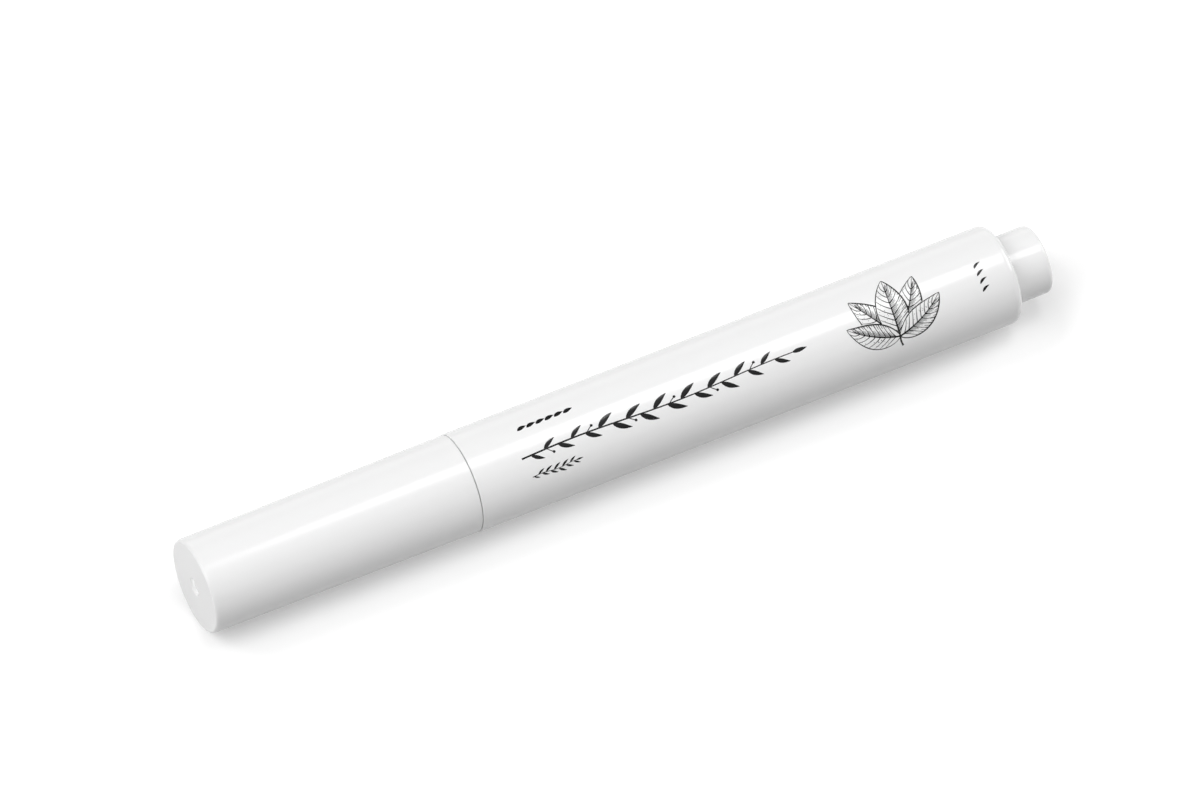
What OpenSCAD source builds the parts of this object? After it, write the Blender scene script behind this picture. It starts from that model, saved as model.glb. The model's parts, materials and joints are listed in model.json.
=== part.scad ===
// Twist-up nail oil pen, lying on its side with its cap on.
// The pen's axis runs along X: the cap is at -X, the twist knob at +X.
// Every piece is drawn along its own axis, measured from the cap's closed end.

/* [Pen] */
// Length of the pen with its cap on
pen_len = 129; // [126:0.5:140]
// Diameter of the barrel
barrel_d = 14.2; // [13.8:0.1:16]
// Wall of the barrel
barrel_wall = 1; // [0.8:0.05:1.2]
// Rounding of the barrel's rear edge
barrel_end_r = 1.25; // [0.4:0.05:1.6]
// Thickness of the barrel's rear lip, which keeps the knob in
lip_t = 1.7; // [1.3:0.1:2.5]
// How far the rear lip reaches in from the barrel's bore
lip_h = 1.1; // [0.9:0.05:1.3]
// Gap in the seam between the cap and the barrel
seam_gap = 0.15; // [0.05:0.05:0.3]
// Rounding of the cap's and the barrel's edges at the seam
seam_edge_r = 0.12; // [0.06:0.02:0.3]

/* [Cap] */
// Length of the cap
cap_len = 40.2; // [38:0.1:44]
// How much further in the cap's mouth lies than the barrel
cap_step = 0.07; // [0:0.01:0.2]
// How much the cap narrows on each side towards its closed end
cap_draft = 0.25; // [0.05:0.05:0.5]
// Wall of the cap at its mouth
cap_wall = 1.1; // [0.9:0.05:1.25]
// Thickness of the cap's closed end
cap_end_t = 1.4; // [1:0.1:2]
// Rounding of the cap's closed edge
cap_edge_r = 0.25; // [0.1:0.05:0.6]
// Diameter of the moulding mark in the middle of the closed end
gate_d = 2.6; // [1.6:0.1:4]
// Depth of the moulding mark
gate_depth = 0.2; // [0.1:0.05:0.4]
// Diameter of the nub in the moulding mark
gate_nub_d = 0.9; // [0.5:0.1:1.1]

/* [Cap liner] */
// Step in the cap's bore that the liner seats behind
seat_step = 0.2; // [0.1:0.05:0.3]
// Wall of the liner's cup
liner_wall = 0.7; // [0.5:0.05:0.9]
// Thickness of the liner's closed end
liner_end_t = 1; // [0.6:0.1:1.5]
// Length of the liner's thick mouth, which seals on the nose
liner_mouth_len = 5; // [4:0.1:5.8]
// Wall of the liner's thick mouth
liner_mouth_wall = 1.18; // [1:0.02:1.4]
// Width of the liner's guide ring
liner_ring_w = 1.5; // [1:0.1:2.5]
// Distance of the guide ring from the liner's closed end
liner_ring_s = 4; // [2:0.1:8]

/* [Neck] */
// How far the neck stands out of the barrel into the cap
neck_out = 8.2; // [7:0.1:9]
// How deep the neck sits in the barrel
neck_deep = 6.65; // [5:0.05:8]
// Clearance between the neck and the cap's bore
neck_fit = 0.2; // [0.15:0.01:0.3]
// Height of the snap bead on the neck
bead_h = 0.14; // [0.05:0.01:0.14]
// Width of the snap bead
bead_w = 1; // [0.6:0.1:1.6]
// Distance of the snap bead from the seam
bead_s = 3.6; // [2:0.1:5]
// Depth of the groove in the cap that the bead rests in
groove_h = 0.15; // [0.05:0.01:0.2]

/* [Brush] */
// Diameter of the nose's tip
nose_tip_d = 4.4; // [4.2:0.1:5.4]
// Distance from the inner end of the liner's mouth to the nose's stem
stem_in = 1; // [0.9:0.1:2]
// Length over which the nose's cone swells to the stem
swell_len = 1.08; // [1:0.02:1.2]
// Length of the bristles outside the ferrule
brush_len = 9; // [6:0.1:10]
// Diameter of the brush at its widest
brush_d = 3.3; // [2.6:0.1:3.8]
// Diameter of the brush's tip
brush_tip_d = 0.5; // [0.3:0.1:1]
// Room between the brush and the liner's closed end
tip_room = 5.1; // [3:0.1:6]
// Outer diameter of the ferrule
ferrule_d = 3.4; // [3:0.1:3.8]
// Wall of the ferrule
ferrule_wall = 0.4; // [0.3:0.05:0.5]
// How far the ferrule stands out of the nose
ferrule_out = 2; // [1:0.1:3]
// How deep the ferrule sits in the nose
ferrule_deep = 5.5; // [4:0.1:7]
// Outer diameter of the feed tube
tube_d = 1.6; // [1.2:0.1:1.8]
// Bore of the feed tube
tube_bore = 0.9; // [0.6:0.1:1]
// Diameter of the O-ring's section
oring_d = 1.2; // [0.9:0.1:1.3]

/* [Reservoir] */
// Wall of the oil cartridge
cart_wall = 0.65; // [0.5:0.05:0.8]
// Length of the nose's plug, from its shoulder to the oil
plug_len = 4; // [3.6:0.1:5]
// How deep the plug's shoulder sits in the neck
shoulder_deep = 2; // [1.4:0.1:2.4]
// Length of the piston
piston_len = 5; // [4.4:0.1:6.5]
// Width of each of the piston's lips
piston_lip_w = 1; // [0.6:0.1:1.3]
// Depth of the piston's waist between its lips
piston_waist = 0.35; // [0.1:0.05:0.6]

/* [Screw] */
// Depth of the rod's thread
thread_h = 0.6; // [0.45:0.05:0.7]
// Depth of the rod's two flats
flat_cut = 0.4; // [0.2:0.05:0.45]
// Pitch of the thread
pitch = 1.75; // [1.5:0.05:2]
// How much the rod's neck in the piston is cut in from its core
rod_neck_cut = 0.4; // [0.3:0.05:0.6]
// How far the rod's button in the piston stands out round the neck
rod_button_lip = 0.5; // [0.4:0.05:0.7]
// Thickness of the rod's button
rod_button_t = 0.9; // [0.6:0.1:1.1]
// Thickness of the fixed nut
nut_t = 4; // [3:0.1:5]

/* [Knob] */
// How far the knob stands out of the barrel
knob_out = 5.7; // [4:0.1:8]
// Wall of the knob round the drive sleeve
knob_wall = 0.9; // [0.85:0.05:1]
// Thickness of the knob's end
knob_end_t = 1.4; // [1:0.1:2]
// Rounding of the knob's edge
knob_edge_r = 0.7; // [0.3:0.05:0.9]
// Thickness of the knob's flange behind the lip
flange_t = 1.2; // [0.8:0.1:1.6]
// Length of the knob's skirt in front of its flange
skirt_len = 2.8; // [2:0.1:5]
// Thickness of the slip washer
washer_t = 0.5; // [0.3:0.05:0.8]
// Length of the sleeve's collar, which grips the rod's flats
grip_len = 4; // [3:0.1:5]
// Wall of the drive sleeve's tube
sleeve_wall = 1.2; // [1:0.05:1.4]
// Depth that the drive sleeve reaches into the knob behind the flange
sleeve_deep = 3.5; // [3:0.1:4.5]
// Number of splines between the sleeve and the knob
spline_n = 6; // [3:1:8]
// Height of the splines
spline_h = 0.4; // [0.25:0.05:0.4]
// Width of the splines
spline_w = 0.8; // [0.5:0.1:1.2]

/* [Ratchet] */
// Wall of the ratchet ring
ring_wall = 0.8; // [0.7:0.05:0.9]
// Number of clicks in a turn
click_n = 12; // [8:1:18]
// Height of the ratchet teeth
tooth_h = 0.35; // [0.2:0.05:0.4]
// Width of the ring of teeth
tooth_w = 3.4; // [2.6:0.1:4]
// Number of pawls
pawl_n = 3; // [2:1:3]
// Width of the pawls
pawl_w = 3; // [2:0.1:3.2]
// Thickness of a pawl's arm
pawl_t = 0.45; // [0.3:0.05:0.5]

/* [Hidden] */
$fn = 96;

// Clearance of parts that turn or slide on each other
run_gap = 0.1;
// Clearance of a snug sliding fit
snug_gap = 0.05;
// Clearance of the rod's thread in the nut
thread_gap = 0.13;
// Clearance round the rod inside the sleeve's tube
bore_room = 0.5;
// Overrun of every cut
cut = 0.5;
// Bevel on the edges of the pieces inside
bevel = 0.3;
// Room behind the piston, in front of the nut
piston_room = 0.5;
// What stays between the piston and the nose's plug when the pen is empty
stop_gap = 0.5;
// What the sleeve still grips short of its end when the pen is empty
rod_short = 0.5;
// Room between the full rod and the knob's end
rod_room = 2;
// Gap between the liner's mouth and the neck
liner_gap = 0.5;
// Places along the bristles, from the ferrule, and the share of the width there
tuft_shares = [[0.12, 0.9], [0.32, 1], [0.62, 0.82], [0.86, 0.48]];
// Where the thread's root ends, and its crest starts and ends, along a pitch
thread_shares = [0.3, 0.5, 0.8];
// Steps of the thread in a turn
turn_steps = 18;
// Angle that a pawl's arm spans, its root's and its tip's
pawl_span = 72;
pawl_root_span = 16;
pawl_tip_span = 9;
// Steps of a small rounded edge
edge_steps = 4;

barrel_r = barrel_d / 2;
barrel_in_r = barrel_r - barrel_wall;
barrel_s = cap_len + seam_gap;
barrel_end_s = pen_len - knob_out;
lip_s = barrel_end_s - lip_t;
lip_r = barrel_in_r - lip_h;

cap_mouth_r = barrel_r - cap_step;
cap_tip_r = cap_mouth_r - cap_draft;
cap_slope = atan(cap_draft / cap_len);
cap_bore_r = cap_mouth_r - cap_wall;
cap_seat_r = cap_bore_r - seat_step;

neck_s = cap_len - neck_out;
neck_end_s = barrel_s + neck_deep;
neck_r = cap_bore_r - neck_fit;

liner_s = neck_s - liner_gap;
liner_mouth_s = liner_s - liner_mouth_len;
liner_mouth_r = cap_seat_r - liner_mouth_wall;
nose_r = liner_mouth_r - snug_gap;
liner_in_r = nose_r - bevel;
liner_r = liner_in_r + liner_wall;

brush_s = cap_end_t + liner_end_t + tip_room;
ferrule_s = brush_s + brush_len;
nose_s = ferrule_s + ferrule_out;
stem_s = liner_mouth_s + stem_in;
socket_s = nose_s + ferrule_deep;
tuft_r = ferrule_d / 2 - ferrule_wall;

cart_out_r = barrel_in_r - snug_gap;
cart_in_r = cart_out_r - cart_wall;
shoulder_s = neck_end_s - shoulder_deep;
plug_s = shoulder_s + plug_len;
plug_r = cart_in_r - snug_gap;
oring_s = (neck_end_s + plug_s) / 2;
oring_floor_r = cart_in_r - oring_d;

// The oil takes the length that the screw leaves it, and the screw needs it twice
rod_end_s = pen_len - knob_end_t - rod_room;
screw_len = piston_len + piston_room + nut_t + run_gap + grip_len;
oil_len = (rod_end_s + stop_gap + rod_short - plug_s - screw_len) / 2;
travel = oil_len - stop_gap;
piston_s = plug_s + oil_len;
piston_end_s = piston_s + piston_len;
cart_end_s = piston_end_s + piston_room;
nut_end_s = cart_end_s + nut_t;
piston_r = cart_in_r - snug_gap;

thread_s = piston_end_s + run_gap;
button_s = piston_s + piston_lip_w + bevel;

collar_s = nut_end_s + run_gap;
collar_end_s = collar_s + grip_len;
ring_bore_r = barrel_in_r - ring_wall;
collar_r = ring_bore_r - run_gap;
tooth_s = collar_end_s + run_gap;
tooth_end_s = tooth_s + tooth_w;
tooth_tip_r = ring_bore_r;
tooth_root_r = ring_bore_r + tooth_h;
pawl_tip_r = tooth_tip_r - run_gap;
pawl_r = pawl_tip_r - tooth_h;

knob_r = lip_r - run_gap;
flange_end_s = lip_s - washer_t - snug_gap;
flange_s = flange_end_s - flange_t;
flange_r = barrel_in_r - run_gap;
knob_s = flange_s - skirt_len;
sleeve_r = knob_r - knob_wall;
sleeve_bore_r = sleeve_r - sleeve_wall;
rod_r = sleeve_bore_r - bore_room;
rod_flat_r = rod_r - flat_cut;
rod_core_r = rod_r - thread_h;
rod_neck_r = rod_core_r - rod_neck_cut;
rod_button_r = rod_neck_r + rod_button_lip;
sleeve_end_s = flange_end_s + sleeve_deep;

// Puts a piece that is drawn along its own axis onto the pen's axis
module along_pen() {
    translate([-pen_len / 2, 0, barrel_r])
        rotate([0, 90, 0])
            children();
}

// A round piece from its outline, in radius and distance along the pen
module turned(outline) {
    rotate_extrude()
        polygon(outline);
}

// A straight round bar between two places
module bar(from_s, to_s, r) {
    translate([0, 0, from_s])
        cylinder(h = to_s - from_s, r = r);
}

// What a rounding takes off the outer rear corner of an outline
module rear_corner(corner, r) {
    translate(corner - [r, r])
        difference() {
            square(r + cut);
            circle(r);
        }
}

// Points of an arc round a centre
function arc(centre, r, from_a, to_a) = [
    for (i = [0:edge_steps])
        let (a = from_a + (to_a - from_a) * i / edge_steps)
            centre + r * [cos(a), sin(a)]
];

// Centre of a rounding of radius r in the cap's sloping wall
function cap_centre(r, s) =
    [cap_tip_r + s * tan(cap_slope) - r / cos(cap_slope), s];

// Outer radius of a shaft with two flats, in the direction of an angle
function flat_r(r, half_w, a) =
    abs(cos(a)) * r > half_w ? half_w / abs(cos(a)) : r;

// One point of a thread, on the axis-wise place s
function thread_point(r, half_w, a, s) =
    flat_r(r, half_w, a) * [cos(a), sin(a), 0] + [0, 0, s];

// Triangles from one point to each pair of neighbours in a list of points
function fan(p, rim) = [for (m = [0:len(rim) - 2]) [p, rim[m], rim[m + 1]]];

// A right-hand threaded bar that starts at s = 0, with a plain end in front and behind.
// gap widens it on every side, as the space that the bar needs in a nut.
module thread_bar(turns, front_len, rear_len, half_w, gap) {
    steps = turns * turn_steps;
    rows = steps + 1;
    heights = [
        gap, thread_shares[0] * pitch - gap,
        thread_shares[1] * pitch - gap, thread_shares[2] * pitch + gap
    ];
    radii = [rod_core_r + gap, rod_core_r + gap, rod_r + gap, rod_r + gap];
    thread = [
        for (j = [0:3]) for (i = [0:steps + (j == 0 ? turn_steps : 0)])
            let (a = 360 * i / turn_steps)
                thread_point(radii[j], half_w, a, heights[j] + pitch * i / turn_steps)
    ];
    rear_s = (turns + 1) * pitch + rear_len + gap;
    ends = [
        for (s = [-front_len, rear_s]) for (k = [0:turn_steps - 1])
            thread_point(radii[0], half_w, 360 * k / turn_steps, s)
    ];
    // Places in the list of points: the root's first row is one turn longer
    function at(i, j) = j == 0 ? i : j * rows + turn_steps + i;
    function next(i, j) = j == 3 ? at(i + turn_steps, 0) : at(i, j + 1);
    first_end = len(thread);
    last_end = first_end + turn_steps;
    sides = [
        for (i = [0:steps - 1]) for (j = [0:3]) each [
            [at(i, j), next(i, j), next(i + 1, j)],
            [at(i, j), next(i + 1, j), at(i + 1, j)]
        ]
    ];
    // At the thread's first and last row, its ridge ends in a face along the axis
    front = [
        for (k = [0:turn_steps - 1])
            let (q = first_end + k, q2 = first_end + (k + 1) % turn_steps)
                let (edge = k == turn_steps - 1 ? [at(0, 1), at(0, 0)] : [])
                    each fan(q, concat([at(k, 0), at(k + 1, 0)], edge, [q2]))
    ];
    rear = [
        for (k = [0:turn_steps - 1])
            let (q = last_end + k, q2 = last_end + (k + 1) % turn_steps)
                let (edge = k == 0 ? [at(steps, 1), at(steps + turn_steps, 0)] : [])
                    each fan(at(steps + k + 1, 0), concat([at(steps + k, 0)], edge, [q, q2]))
    ];
    ridge_ends = concat(
        fan(at(0, 1), [at(turn_steps, 0), at(0, 3), at(0, 2)]),
        fan(at(steps, 1), [at(steps, 2), at(steps, 3), at(steps + turn_steps, 0)])
    );
    discs = [
        [for (k = [0:turn_steps - 1]) first_end + k],
        [for (k = [turn_steps - 1:-1:0]) last_end + k]
    ];
    polyhedron(concat(thread, ends), concat(sides, front, rear, ridge_ends, discs));
}

module cap_shell() {
    gate_r = gate_d / 2;
    nub_r = gate_nub_d / 2;
    nub_s = gate_depth / 2;
    bead_at_s = cap_len - bead_s;
    color("white") along_pen() turned(concat(
        [
            [0, nub_s], [nub_r, nub_s], [nub_r, gate_depth],
            [gate_r - gate_depth, gate_depth], [gate_r, 0]
        ],
        arc(cap_centre(cap_edge_r, cap_edge_r), cap_edge_r, -90, -cap_slope),
        arc(cap_centre(seam_edge_r, cap_len - seam_edge_r), seam_edge_r, -cap_slope, 90),
        [
            [cap_bore_r + bevel, cap_len],
            [cap_bore_r, cap_len - bevel],
            [cap_bore_r, bead_at_s + bead_w],
            [cap_bore_r + groove_h, bead_at_s + bead_w / 2],
            [cap_bore_r + groove_h, bead_at_s - bead_w / 2],
            [cap_bore_r, bead_at_s - bead_w],
            [cap_bore_r, liner_s],
            [cap_seat_r, liner_s],
            [cap_seat_r, cap_end_t],
            [0, cap_end_t]
        ]
    ));
}

module cap_liner() {
    closed_s = cap_end_t + liner_end_t;
    ring_s = cap_end_t + liner_ring_s;
    color("gainsboro") along_pen() turned([
        [0, cap_end_t],
        [liner_r - bevel, cap_end_t],
        [liner_r, cap_end_t + bevel],
        [liner_r, ring_s],
        [cap_seat_r, ring_s],
        [cap_seat_r, ring_s + liner_ring_w],
        [liner_r, ring_s + liner_ring_w],
        [liner_r, liner_mouth_s],
        [cap_seat_r, liner_mouth_s],
        [cap_seat_r, liner_s],
        [liner_mouth_r + bevel, liner_s],
        [liner_mouth_r, liner_s - bevel],
        [liner_mouth_r, liner_mouth_s + bevel],
        [liner_in_r, liner_mouth_s],
        [liner_in_r, closed_s],
        [0, closed_s]
    ]);
}

module brush_tuft() {
    bristle_r = brush_d / 2;
    hole_s = ferrule_s + ferrule_out;
    color("ivory") along_pen() difference() {
        turned(concat(
            [[0, socket_s], [tuft_r, socket_s], [tuft_r, ferrule_s]],
            [for (p = tuft_shares) [bristle_r * p[1], ferrule_s - brush_len * p[0]]],
            [[brush_tip_d / 2, brush_s], [0, brush_s]]
        ));
        bar(hole_s, socket_s + cut, tube_d / 2);
    }
}

module brush_ferrule() {
    color("whitesmoke") along_pen() difference() {
        bar(ferrule_s, socket_s, ferrule_d / 2);
        bar(ferrule_s - cut, socket_s + cut, tuft_r);
    }
}

module feed_tube() {
    color("lightgray") along_pen() difference() {
        bar(nose_s, shoulder_s, tube_d / 2);
        bar(nose_s - cut, shoulder_s + cut, tube_bore / 2);
    }
}

module nose_cone() {
    swell_s = stem_s - swell_len;
    funnel_r = oring_floor_r - bevel - bevel;
    color("gainsboro") along_pen() difference() {
        turned([
            [0, nose_s],
            [nose_tip_d / 2 - bevel, nose_s],
            [nose_tip_d / 2, nose_s + bevel],
            [liner_in_r - bevel, swell_s],
            [nose_r, stem_s],
            [nose_r, shoulder_s],
            [plug_r, shoulder_s],
            [plug_r, oring_s - oring_d / 2],
            [oring_floor_r, oring_s - oring_d / 2],
            [oring_floor_r, oring_s + oring_d / 2],
            [plug_r, oring_s + oring_d / 2],
            [plug_r, plug_s],
            [funnel_r, plug_s],
            [tube_bore / 2, shoulder_s],
            [0, shoulder_s]
        ]);
        bar(nose_s - cut, socket_s, ferrule_d / 2);
        bar(socket_s - cut, shoulder_s + cut, tube_d / 2);
    }
}

module nose_o_ring() {
    color("dimgray") along_pen() translate([0, 0, oring_s]) rotate_extrude()
        translate([cart_in_r - oring_d / 2, 0])
            circle(oring_d / 2);
}

module neck_sleeve() {
    bead_at_s = cap_len - bead_s;
    color("white") along_pen() turned([
        [nose_r, neck_s],
        [neck_r - bevel, neck_s],
        [neck_r, neck_s + bevel],
        [neck_r, bead_at_s - bead_w / 2],
        [neck_r + bead_h, bead_at_s - bead_h],
        [neck_r + bead_h, bead_at_s + bead_h],
        [neck_r, bead_at_s + bead_w / 2],
        [neck_r, barrel_s],
        [barrel_in_r, barrel_s],
        [barrel_in_r, neck_end_s],
        [plug_r, neck_end_s],
        [plug_r, shoulder_s],
        [nose_r, shoulder_s]
    ]);
}

module barrel_shell() {
    color("white") along_pen() rotate_extrude() difference() {
        polygon([
            [barrel_in_r, barrel_s],
            [barrel_r - seam_edge_r, barrel_s],
            [barrel_r, barrel_s + seam_edge_r],
            [barrel_r, barrel_end_s],
            [lip_r, barrel_end_s],
            [lip_r, lip_s],
            [barrel_in_r, lip_s]
        ]);
        rear_corner([barrel_r, barrel_end_s], barrel_end_r);
    }
}

module oil_cartridge() {
    color("lightcyan") along_pen() difference() {
        bar(neck_end_s, cart_end_s, cart_out_r);
        bar(neck_end_s - cut, cart_end_s + cut, cart_in_r);
    }
}

module piston() {
    waist_r = piston_r - piston_waist;
    rear_lip_s = piston_end_s - piston_lip_w;
    chamber_r = rod_button_r + run_gap;
    throat_r = rod_neck_r + run_gap;
    chamber_s = button_s - run_gap;
    throat_s = button_s + rod_button_t + run_gap;
    hollow_s = throat_s + rod_button_t;
    color("white") along_pen() turned([
        [0, piston_s],
        [piston_r - bevel, piston_s],
        [piston_r, piston_s + bevel],
        [piston_r, piston_s + piston_lip_w],
        [waist_r, piston_s + piston_lip_w + bevel],
        [waist_r, rear_lip_s - bevel],
        [piston_r, rear_lip_s],
        [piston_r, piston_end_s - bevel],
        [piston_r - bevel, piston_end_s],
        [chamber_r + bevel, piston_end_s],
        [chamber_r + bevel, hollow_s],
        [throat_r, hollow_s],
        [throat_r, throat_s],
        [chamber_r, throat_s],
        [chamber_r, chamber_s],
        [0, chamber_s]
    ]);
}

module screw_rod() {
    front_len = pitch / 2;
    turns = floor((rod_end_s - thread_s - front_len) / pitch) - 2;
    rear_len = rod_end_s - thread_s - front_len - (turns + 1) * pitch;
    color("white") along_pen() union() {
        turned([
            [0, button_s],
            [rod_button_r - bevel, button_s],
            [rod_button_r, button_s + bevel],
            [rod_button_r, button_s + rod_button_t],
            [rod_neck_r, button_s + rod_button_t],
            [rod_neck_r, thread_s + front_len / 2],
            [0, thread_s + front_len / 2]
        ]);
        translate([0, 0, thread_s + front_len])
            thread_bar(turns, front_len, rear_len, rod_flat_r, 0);
    }
}

module thread_nut() {
    turns = ceil(nut_t / pitch) + 3;
    // The space for the rod starts two pitches in front of the rod's own thread
    first_s = thread_s + pitch / 2 - pitch - pitch;
    color("silver") along_pen() difference() {
        turned([
            [0, cart_end_s],
            [barrel_in_r - bevel, cart_end_s],
            [barrel_in_r, cart_end_s + bevel],
            [barrel_in_r, nut_end_s - bevel],
            [barrel_in_r - bevel, nut_end_s],
            [0, nut_end_s]
        ]);
        translate([0, 0, first_s])
            thread_bar(turns, pitch, pitch, barrel_r, thread_gap);
    }
}

// The outline of the ring's inner side at its teeth, which stop the sleeve one way
module tooth_outline() {
    polygon([
        for (i = [0:click_n - 1])
            let (a = 360 * i / click_n, b = 360 * (i + 1) / click_n) each [
                tooth_tip_r * [cos(a), sin(a)],
                (tooth_tip_r + tooth_root_r) / 2 * [cos((a + b) / 2), sin((a + b) / 2)],
                tooth_root_r * [cos(b), sin(b)]
            ]
    ]);
}

module ratchet_ring() {
    color("silver") along_pen() difference() {
        bar(nut_end_s, tooth_end_s, barrel_in_r);
        bar(nut_end_s - cut, tooth_s + cut, ring_bore_r);
        translate([0, 0, tooth_s])
            linear_extrude(tooth_w + cut)
                tooth_outline();
    }
}

// A wedge of the plane round the axis, as wide as the angle a
module wedge(r, a) {
    polygon([
        [0, 0], [r, 0],
        [r, r * tan(a / 2)],
        r * [cos(a), sin(a)]
    ]);
}

// One springy arm of the drive sleeve, with its tip at the ring's teeth
module pawl() {
    intersection() {
        difference() {
            circle(pawl_r);
            circle(pawl_r - pawl_t);
        }
        wedge(barrel_r, pawl_span);
    }
    intersection() {
        circle(pawl_r);
        wedge(barrel_r, pawl_root_span);
    }
    rotate(pawl_span - pawl_tip_span) intersection() {
        difference() {
            circle(pawl_tip_r);
            circle(pawl_r - pawl_t);
        }
        wedge(barrel_r, pawl_tip_span);
    }
}

// The ribs that key the drive sleeve into the knob
module splines(height, width) {
    for (i = [0:spline_n - 1])
        rotate(360 * i / spline_n)
            translate([0, -width / 2])
                square([sleeve_r + height, width]);
}

module drive_sleeve() {
    color("gainsboro") along_pen() difference() {
        union() {
            bar(collar_s, collar_end_s, collar_r);
            bar(collar_s, sleeve_end_s, sleeve_r);
            for (i = [0:pawl_n - 1])
                translate([0, 0, tooth_s + (tooth_w - pawl_w) / 2])
                    rotate(360 * i / pawl_n)
                        linear_extrude(pawl_w)
                            pawl();
            translate([0, 0, knob_s + run_gap])
                linear_extrude(sleeve_end_s - knob_s - run_gap)
                    splines(spline_h, spline_w);
        }
        bar(collar_end_s, sleeve_end_s + cut, sleeve_bore_r);
        translate([0, 0, collar_s - cut])
            linear_extrude(grip_len + cut + cut)
                intersection() {
                    circle(rod_r + run_gap);
                    square([2 * (rod_flat_r + run_gap), barrel_d], center = true);
                }
    }
}

module knob_shell() {
    pocket_end_s = pen_len - knob_end_t;
    groove = spline_h + snug_gap;
    color("white") along_pen() difference() {
        rotate_extrude() difference() {
            polygon([
                [0, knob_s],
                [knob_r, knob_s],
                [knob_r, flange_s],
                [flange_r, flange_s],
                [flange_r, flange_end_s],
                [knob_r, flange_end_s],
                [knob_r, pen_len],
                [0, pen_len]
            ]);
            rear_corner([knob_r, pen_len], knob_edge_r);
        }
        bar(knob_s - cut, sleeve_end_s, sleeve_r);
        bar(knob_s - cut, pocket_end_s, sleeve_bore_r);
        translate([0, 0, knob_s - cut])
            linear_extrude(sleeve_end_s + cut - knob_s)
                splines(groove, spline_w + snug_gap + snug_gap);
    }
}

module slip_washer() {
    color("gray") along_pen() difference() {
        bar(lip_s - washer_t, lip_s, flange_r);
        bar(lip_s - washer_t - cut, lip_s + cut, lip_r);
    }
}

cap_shell();
cap_liner();
brush_tuft();
brush_ferrule();
feed_tube();
nose_cone();
nose_o_ring();
neck_sleeve();
barrel_shell();
oil_cartridge();
piston();
screw_rod();
thread_nut();
ratchet_ring();
drive_sleeve();
knob_shell();
slip_washer();
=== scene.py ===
import json
import math
import random

import bmesh
import bpy
from bpy.props import FloatProperty, FloatVectorProperty, IntProperty, PointerProperty
from mathutils import Matrix, Vector


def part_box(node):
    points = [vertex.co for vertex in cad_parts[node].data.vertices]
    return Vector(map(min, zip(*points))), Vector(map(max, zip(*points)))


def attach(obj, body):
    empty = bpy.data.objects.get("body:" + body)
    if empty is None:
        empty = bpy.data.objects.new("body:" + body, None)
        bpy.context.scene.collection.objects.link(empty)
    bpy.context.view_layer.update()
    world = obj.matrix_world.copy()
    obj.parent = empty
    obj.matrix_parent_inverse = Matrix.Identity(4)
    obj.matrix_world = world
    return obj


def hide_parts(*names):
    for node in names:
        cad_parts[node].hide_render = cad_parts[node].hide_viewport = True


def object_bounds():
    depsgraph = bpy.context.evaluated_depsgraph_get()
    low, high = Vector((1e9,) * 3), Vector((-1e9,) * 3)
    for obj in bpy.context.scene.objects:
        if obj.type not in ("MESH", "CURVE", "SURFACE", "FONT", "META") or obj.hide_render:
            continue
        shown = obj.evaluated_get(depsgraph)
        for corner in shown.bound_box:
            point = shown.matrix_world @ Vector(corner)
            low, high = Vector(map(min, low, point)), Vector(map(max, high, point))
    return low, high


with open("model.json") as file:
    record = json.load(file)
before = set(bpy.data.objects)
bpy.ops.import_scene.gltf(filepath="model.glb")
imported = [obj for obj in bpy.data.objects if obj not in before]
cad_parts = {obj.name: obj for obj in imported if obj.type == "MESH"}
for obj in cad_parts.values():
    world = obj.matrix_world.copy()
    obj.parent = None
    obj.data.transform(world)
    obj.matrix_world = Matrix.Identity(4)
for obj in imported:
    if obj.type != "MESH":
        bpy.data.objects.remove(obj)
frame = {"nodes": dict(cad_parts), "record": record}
cad_bounds = [list(corner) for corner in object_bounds()]

bl_info = {
    "name": "Nail Oil Pen",
    "version": (1, 0, 0),
    "blender": (4, 5, 0),
    "location": "3D View > Sidebar > Oil Pen",
    "description": "Models a glossy white twist-up nail oil pen with a brush tip on a pale studio floor",
    "category": "Add Mesh",
}

MM = 0.001
PEN_START = cad_bounds[0][0]
GRIP = frame["record"]["mounts"][0]
AXIS_Z = GRIP["pos_m"][2]
BARREL_R = GRIP["dims"]["r_mm"]
SEAM = (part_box("barrel_shell")[0][0] - PEN_START) / MM
BARREL_END = (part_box("barrel_shell")[1][0] - PEN_START) / MM
PEN_END = (cad_bounds[1][0] - PEN_START) / MM

# Radii and places that neighbouring pieces share, in millimetres
CAP_BORE_R = 5.93
LINER_R = 5.73
LINER_MOUTH = 31.5
CAP_MOUTH = 40.2
NECK_R = 5.73
NECK_BORE_R = 5.35
BARREL_BORE_R = 6.1
NOSE_R = 4.5
BRUSH_R = 1.3
FEED_R = 0.8
FERRULE_MOUTH = 16.5
FERRULE_R = 1.7
FERRULE_END = 24


# Sizes and finishes


def length(name, description, default_mm):
    """A length property whose default is given in millimetres."""
    return FloatProperty(
        name=name, description=description, default=default_mm * MM, min=0, unit="LENGTH", precision=5
    )


def colour(name, description, default):
    """A colour property."""
    return FloatVectorProperty(
        name=name, description=description, default=default, min=0, max=1, size=3, subtype="COLOR"
    )


class OilPenShape(bpy.types.PropertyGroup):
    """Roundings of the pen's visible edges"""

    facets: IntProperty(
        name="Facets", description="Facets round the pen's shells", default=224, min=24, max=512
    )
    barrel_edge: length("Barrel Edge", "Rounding of the barrel's rear edge", 1.25)
    seam_edge: length("Seam Edge", "Rounding of the two edges at the seam", 0.05)
    cap_edge: length("Cap Edge", "Height of the rounding of the cap's closed edge", 0.38)
    cap_run: length("Cap Edge Run", "How far that rounding runs along the cap", 0.52)
    knob_edge: length("Knob Edge", "Rounding of the knob's edge", 0.7)
    inner_edge: length("Inner Edge", "Rounding of the small edges inside", 0.08)


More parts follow.
